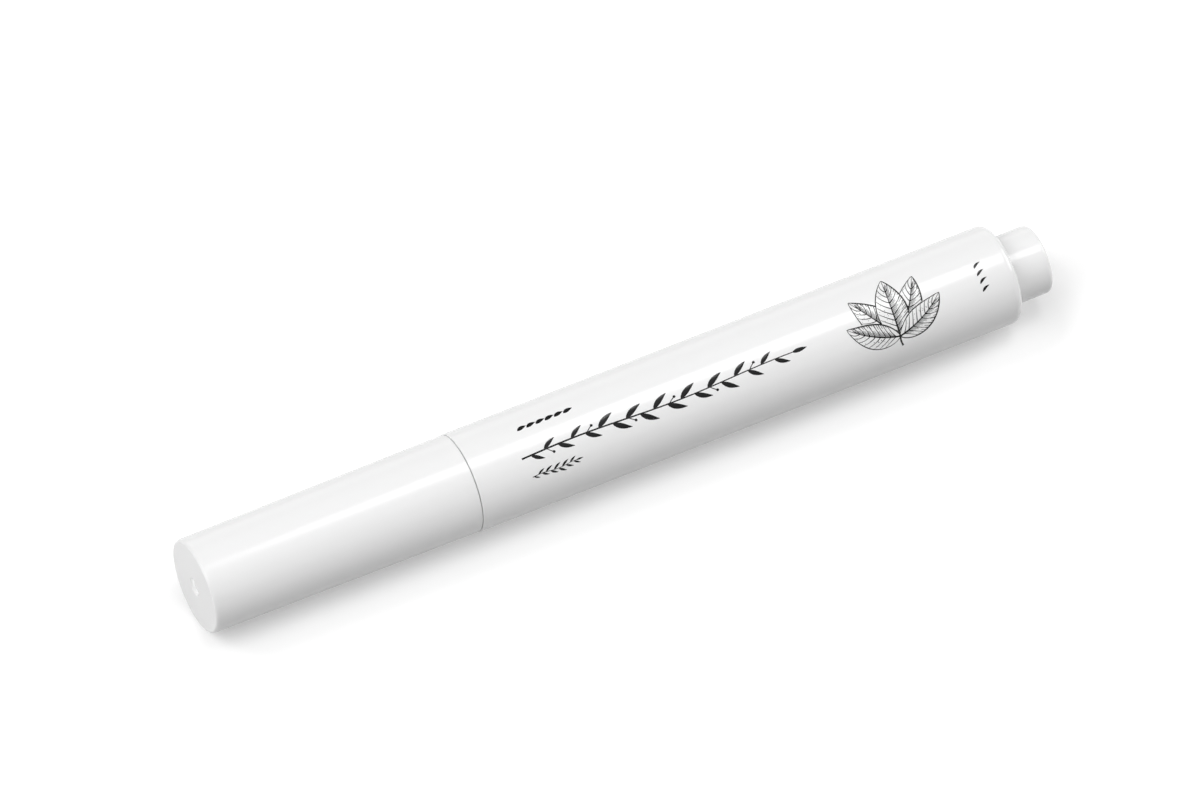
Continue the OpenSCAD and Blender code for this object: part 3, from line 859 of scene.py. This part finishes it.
def sprig(start, end, v, scale, leaves, chance):
    """A slender sprig with small leaves in turn on both sides of its stem."""
    reach = end - start
    count = 60
    stem = []
    for i in range(count + 1):
        wave = 0.22 * scale * math.sin(2.6 * math.pi * i / count)
        stem.append((start + reach * i / count, v + wave, (0.13 - 0.06 * i / count) * scale))
    strokes = [stem]
    for k in range(leaves):
        t = 0.045 + 0.9 * k / (leaves - 1)
        u, w, _ = stem[int(t * count)]
        side = 1 if k % 2 else -1
        size = (0.75 + 0.3 * math.sin(math.pi * t)) * chance.uniform(0.92, 1.08) * scale
        angle = side * math.radians(chance.uniform(33, 42))
        strokes.append(filled_leaf((u, w), angle, 2.75 * size, 0.36 * size, -side * 0.35))
        if k % 3 == 1 and scale > 0.8:
            berry = curve_points((u + 0.35, w), -angle * 1.15, 1.15, side * 0.2, 5)
            strokes.append([(p[0], p[1], 0.06) for p in berry])
            strokes.append(dot(berry[-1][0], berry[-1][1], 0.2))
    strokes.append(filled_leaf((end, stem[-1][1]), 0.0, TIP_LEAF * scale, 0.3 * scale, 0.0))
    return strokes


class OILPEN_OT_print(bpy.types.Operator):
    """Prints two sprigs, rows of small leaves and a fan of veined leaves on the barrel, in thin black ink"""

    bl_idname = "oil_pen.print"
    bl_label = "Print"
    bl_options = {"REGISTER", "UNDO"}

    # Angle, length, half width and bow of the large leaves, the one in front first
    fan = (
        (14, 8.2, 1.75, 0.5), (168, 8.0, 1.75, -0.5), (93, 8.6, 2.2, -0.25), (52, 8.8, 1.9, 0.2),
        (132, 8.8, 1.9, -0.2),
    )

    def execute(self, context):
        sheet = context.scene.oil_pen_print
        chance = random.Random(3)
        start, end, leaves = (value / MM for value in (sheet.sprig_start, sheet.sprig_end, sheet.leaves_at))
        strokes = sprig(start, end - TIP_LEAF, 0, 1, 19, chance)
        strokes += sprig(start + 0.7, start + 7.4, -2.9, 0.45, 11, chance)
        for k in range(6):
            strokes.append(filled_leaf((start + 1.2 + 1.4 * k, 4.0), 0.5, 1.5, 0.3, -0.6))
        for k in range(4):
            strokes.append(filled_leaf((leaves + 13.2, -1.6 + 1.15 * k), 0.9, 1.35, 0.19, -0.9))
        root = (leaves, -3.2)
        in_front = []
        for angle, reach, half, bow in self.fan:
            drawn, leaf = veined_leaf(root, math.radians(angle), reach, half, bow, 0.07, chance)
            for stroke in drawn:
                strokes += clipped(stroke, in_front)
            in_front.append(leaf)
        stalk = curve_points(root, math.radians(262), 1.6, 0.6, 8)
        strokes.append([(u, v, 0.13) for u, v, _ in stalk])
        self.draw(context, strokes)
        return {"FINISHED"}

    @staticmethod
    def draw(context, strokes):
        """Draws the strokes as flat ink on the unrolled barrel, then rolls them round it."""
        sheet = context.scene.oil_pen_print
        curve = bpy.data.curves.new("barrel_print", "CURVE")
        curve.dimensions = "3D"
        curve.bevel_depth = MM
        curve.bevel_resolution = 2
        curve.use_fill_caps = True
        for stroke in strokes:
            line = curve.splines.new("POLY")
            line.points.add(len(stroke) - 1)
            for point, (u, v, half) in zip(line.points, stroke):
                point.co = (u * MM, v * MM, 0, 1)
                point.radius = half
        ink = bpy.data.objects.new("barrel_print", curve)
        context.collection.objects.link(ink)
        bpy.ops.object.select_all(action="DESELECT")
        ink.select_set(True)
        context.view_layer.objects.active = ink
        bpy.ops.object.convert(target="MESH")
        ink = context.object
        barrel_r, full_height = BARREL_R * MM, 0.03 * MM
        for vertex in ink.data.vertices:
            u, v, height = vertex.co
            lift = max(-1, min(1, height / full_height)) * sheet.ink
            around = sheet.side + v / barrel_r
            r = barrel_r + lift
            vertex.co = (along(SEAM) + u, -r * math.cos(around), AXIS_Z + r * math.sin(around))
        bpy.ops.object.mode_set(mode="EDIT")
        bpy.ops.mesh.select_all(action="SELECT")
        bpy.ops.mesh.normals_make_consistent(inside=False)
        bpy.ops.object.mode_set(mode="OBJECT")
        bpy.ops.object.shade_smooth_by_angle(angle=math.radians(40))
        dress(ink, print_ink(), "barrel", "gloss_white")


class OILPEN_OT_works(bpy.types.Operator):
    """Finishes the pieces inside the barrel: seals, cartridge, piston, screw and ratchet"""

    bl_idname = "oil_pen.works"
    bl_label = "Works Inside"
    bl_options = {"REGISTER", "UNDO"}

    def execute(self, context):
        finish = context.scene.oil_pen_finish
        white = moulded("works_white", finish.works_white, 0.34, 0.015, 3.0, 0.15, 0.001)
        grey = moulded("works_grey", finish.works_grey, 0.4, 0.03, 2.5, 0.12, 0.0015)
        rubber = seal_rubber()
        materials = {
            "feed_tube": natural_plastic(),
            "oil_cartridge": moulded("cartridge_clear", finish.cartridge, 0.3, 0.015, 5.0, 0.2, 0.0006, 0.4),
            "piston": moulded("piston_waxy", finish.piston, 0.45, 0.02, 2.0, 0.1, 0.0015, 0.25),
            "nose_o_ring": rubber,
            "slip_washer": rubber,
            "screw_rod": white,
            "drive_sleeve": white,
            "thread_nut": grey,
            "ratchet_ring": grey,
        }
        for name, material in materials.items():
            node = frame["nodes"][name]
            if not node.material_slots:
                node.data.materials.append(material)
            for held in node.material_slots:
                held.material = material
        return {"FINISHED"}


# Studio

# Name, place, aim, width and depth in metres, and power in watts
LAMPS = (
    ("strip_lamp", (0.21, -0.066, 0.6), (0.21, 0, 0), (0.22, 0.26), 0.7),
    ("top_lamp", (0, 0, 0.8), (0, 0, 0), (1.2, 1.0), 0.57),
    ("low_rear_lamp", (0.1, 0.8, 0.2), (0, 0, 0), (1.6, 0.35), 1.24),
    ("cap_side_rear_lamp", (-0.6, 0.5, 0.5), (0, 0, 0), (0.6, 0.6), 0.72),
    ("high_front_lamp", (0, -0.45, 0.7), (0, 0, 0), (1.4, 0.4), 0.56),
    ("front_lamp", (0, -0.7, 0.5), (0, 0, 0), (1.4, 0.4), 0.29),
    ("low_front_lamp", (0, -0.9, 0.25), (0, 0, 0), (1.6, 0.4), 0.84),
    ("high_cap_side_lamp", (-0.55, -0.1, 0.65), (0, 0, 0), (0.7, 0.7), 4.18),
    ("cap_side_lamp", (-0.75, -0.1, 0.4), (0, 0, 0), (0.6, 0.6), 0.87),
    ("knob_side_lamp", (0.8, 0, 0.4), (0, 0, 0), (0.6, 0.6), 3.9),
)


class OILPEN_OT_studio(bpy.types.Operator):
    """Sets up the pale floor, the soft lamps, the mirrored sky and the camera"""

    bl_idname = "oil_pen.studio"
    bl_label = "Studio"
    bl_options = {"REGISTER", "UNDO"}

    def execute(self, context):
        studio = context.scene.oil_pen_studio
        context.scene.view_settings.view_transform = "Standard"
        self.lay_floor(studio)
        self.light_sky(context.scene, studio)
        for name, place, aim, size, watts in LAMPS:
            self.hang_lamp(name, place, aim, size, watts * studio.power)
        self.place_camera(context.scene, studio)
        return {"FINISHED"}

    @staticmethod
    def glow_strength(tree, studio):
        """The floor's glow, which rises from a first to a full distance outside a box round the pen, so that
        the floor inside the box stays darker as painted shade round the pen's shadow.
        """
        # Box round the pen and the rise of the lift, in mm: the floor in the box gets no lift, a painted
        # shade round the pen's shadow
        middle, half_size, first, full = (2, -0.5, 0), (58, 3.5, 1), 5, 11
        last = tree.nodes.new("ShaderNodeTexCoord").outputs["Object"]
        steps = (
            ("SUBTRACT", middle), ("ABSOLUTE", None), ("SUBTRACT", half_size), ("MAXIMUM", (0, 0, 0)),
            ("LENGTH", None),
        )
        for operation, value in steps:
            step = tree.nodes.new("ShaderNodeVectorMath")
            step.operation = operation
            tree.links.new(last, step.inputs[0])
            if value:
                step.inputs[1].default_value = [number * MM for number in value]
            last = step.outputs["Value" if operation == "LENGTH" else "Vector"]
        rise = tree.nodes.new("ShaderNodeMapRange")
        rise.interpolation_type = "SMOOTHSTEP"
        rise.inputs["From Min"].default_value = first * MM
        rise.inputs["From Max"].default_value = full * MM
        rise.inputs["To Min"].default_value = studio.glow
        rise.inputs["To Max"].default_value = studio.glow + studio.painted_floor_lift
        tree.links.new(last, rise.inputs["Value"])
        return rise.outputs["Result"]

    def lay_floor(self, studio):
        """The floor, which glows where it is looked at and lights the pen as plain matt paint."""
        bpy.ops.object.select_all(action="DESELECT")
        bpy.ops.mesh.primitive_plane_add(size=8, location=(0, 0, 0))
        floor = bpy.context.object
        floor.name = floor.data.name = "studio_floor"
        material, tree, shader = new_material("studio_floor")
        nodes, links = tree.nodes, tree.links
        nodes.remove(shader)
        matt = nodes.new("ShaderNodeBsdfDiffuse")
        matt.inputs["Color"].default_value = (*studio.bounce, 1)
        seen = nodes.new("ShaderNodeBsdfDiffuse")
        seen.inputs["Color"].default_value = (*studio.floor, 1)
        glow = nodes.new("ShaderNodeEmission")
        links.new(self.glow_strength(tree, studio), glow.inputs["Strength"])
        both = nodes.new("ShaderNodeAddShader")
        mix = nodes.new("ShaderNodeMixShader")
        path = nodes.new("ShaderNodeLightPath")
        links.new(seen.outputs[0], both.inputs[0])
        links.new(glow.outputs[0], both.inputs[1])
        looked_at = nodes.new("ShaderNodeMath")
        looked_at.operation = "MAXIMUM"
        links.new(path.outputs["Is Camera Ray"], looked_at.inputs[0])
        links.new(path.outputs["Is Glossy Ray"], looked_at.inputs[1])
        links.new(looked_at.outputs[0], mix.inputs[0])
        links.new(matt.outputs[0], mix.inputs[1])
        links.new(both.outputs[0], mix.inputs[2])
        links.new(mix.outputs[0], nodes["Material Output"].inputs["Surface"])
        floor.data.materials.append(material)

    @staticmethod
    def light_sky(scene, studio):
        """The sky, which is white to look at, grey in reflections and gives no other light."""
        world = bpy.data.worlds.new("studio_sky")
        scene.world = world
        world.use_nodes = True
        nodes, links = world.node_tree.nodes, world.node_tree.links
        path = nodes.new("ShaderNodeLightPath")
        last = nodes["Background"]
        last.inputs["Strength"].default_value = 0
        for ray, strength in (("Is Glossy Ray", studio.mirrored), ("Is Camera Ray", 1)):
            seen = nodes.new("ShaderNodeBackground")
            seen.inputs["Color"].default_value = (1, 1, 1, 1)
            seen.inputs["Strength"].default_value = strength
            mix = nodes.new("ShaderNodeMixShader")
            links.new(path.outputs[ray], mix.inputs[0])
            links.new(last.outputs[0], mix.inputs[1])
            links.new(seen.outputs[0], mix.inputs[2])
            last = mix
        links.new(last.outputs[0], nodes["World Output"].inputs["Surface"])

    @staticmethod
    def hang_lamp(name, place, aim, size, watts):
        """A soft round or oval lamp."""
        lamp = bpy.data.lights.new(name, "AREA")
        lamp.shape = "ELLIPSE"
        lamp.size, lamp.size_y = size
        lamp.energy = watts
        hung = bpy.data.objects.new(name, lamp)
        hung.location = place
        hung.rotation_euler = (Vector(aim) - Vector(place)).to_track_quat("-Z", "Y").to_euler()
        hung.visible_camera = False
        bpy.context.collection.objects.link(hung)

    @staticmethod
    def place_camera(scene, studio):
        """Looks from the photograph's side, with the cap's closed end at its place in the picture."""
        a, e = studio.azimuth, studio.elevation
        right = Vector((math.cos(a), math.sin(a), 0))
        back = Vector((math.sin(a) * math.cos(e), -math.cos(a) * math.cos(e), math.sin(e)))
        up = back.cross(right)
        cap_end = Vector((PEN_START, 0, AXIS_Z))
        right_of_it, above_it = 0.05491, 0.02532
        place = cap_end + right * right_of_it + up * above_it + back * studio.distance
        camera = bpy.data.cameras.new("studio_camera")
        camera.lens = studio.lens
        camera.sensor_width = 36
        camera.clip_end = 50
        held = bpy.data.objects.new("studio_camera", camera)
        held.matrix_world = Matrix((
            (right.x, up.x, back.x, place.x),
            (right.y, up.y, back.y, place.y),
            (right.z, up.z, back.z, place.z),
            (0, 0, 0, 1),
        ))
        bpy.context.collection.objects.link(held)
        scene.camera = held


# Sidebar


class OILPEN_PT_sidebar(bpy.types.Panel):
    """Lists the pen's pieces, sizes and finishes"""

    bl_idname = "OILPEN_PT_sidebar"
    bl_label = "Nail Oil Pen"
    bl_space_type = "VIEW_3D"
    bl_region_type = "UI"
    bl_category = "Oil Pen"

    def draw(self, context):
        for piece in PIECES:
            self.layout.operator(piece.bl_idname)
        for key, group in GROUPS.items():
            box = self.layout.box()
            box.label(text=group.__doc__)
            for name in group.__annotations__:
                box.prop(getattr(context.scene, key), name)


PIECES = (
    OILPEN_OT_cap, OILPEN_OT_liner, OILPEN_OT_barrel, OILPEN_OT_knob, OILPEN_OT_neck, OILPEN_OT_brush,
    OILPEN_OT_print, OILPEN_OT_works, OILPEN_OT_studio,
)
GROUPS = {
    "oil_pen_shape": OilPenShape, "oil_pen_brush": OilPenBrush, "oil_pen_print": OilPenPrint,
    "oil_pen_finish": OilPenFinish, "oil_pen_studio": OilPenStudio,
}


def register():
    """Registers the classes and hangs the settings on the scene."""
    for cls in (*GROUPS.values(), *PIECES, OILPEN_PT_sidebar):
        bpy.utils.register_class(cls)
    for key, group in GROUPS.items():
        setattr(bpy.types.Scene, key, PointerProperty(type=group))


def unregister():
    """Takes both away again."""
    for key in GROUPS:
        delattr(bpy.types.Scene, key)
    for cls in reversed((*GROUPS.values(), *PIECES, OILPEN_PT_sidebar)):
        bpy.utils.unregister_class(cls)


def main():
    """Models the whole pen and sets up the studio."""
    register()
    bpy.ops.oil_pen.cap()
    bpy.ops.oil_pen.liner()
    bpy.ops.oil_pen.barrel()
    bpy.ops.oil_pen.knob()
    bpy.ops.oil_pen.neck()
    bpy.ops.oil_pen.brush()
    bpy.ops.oil_pen.print()
    bpy.ops.oil_pen.works()
    bpy.ops.oil_pen.studio()


if __name__ == "__main__":
    main()
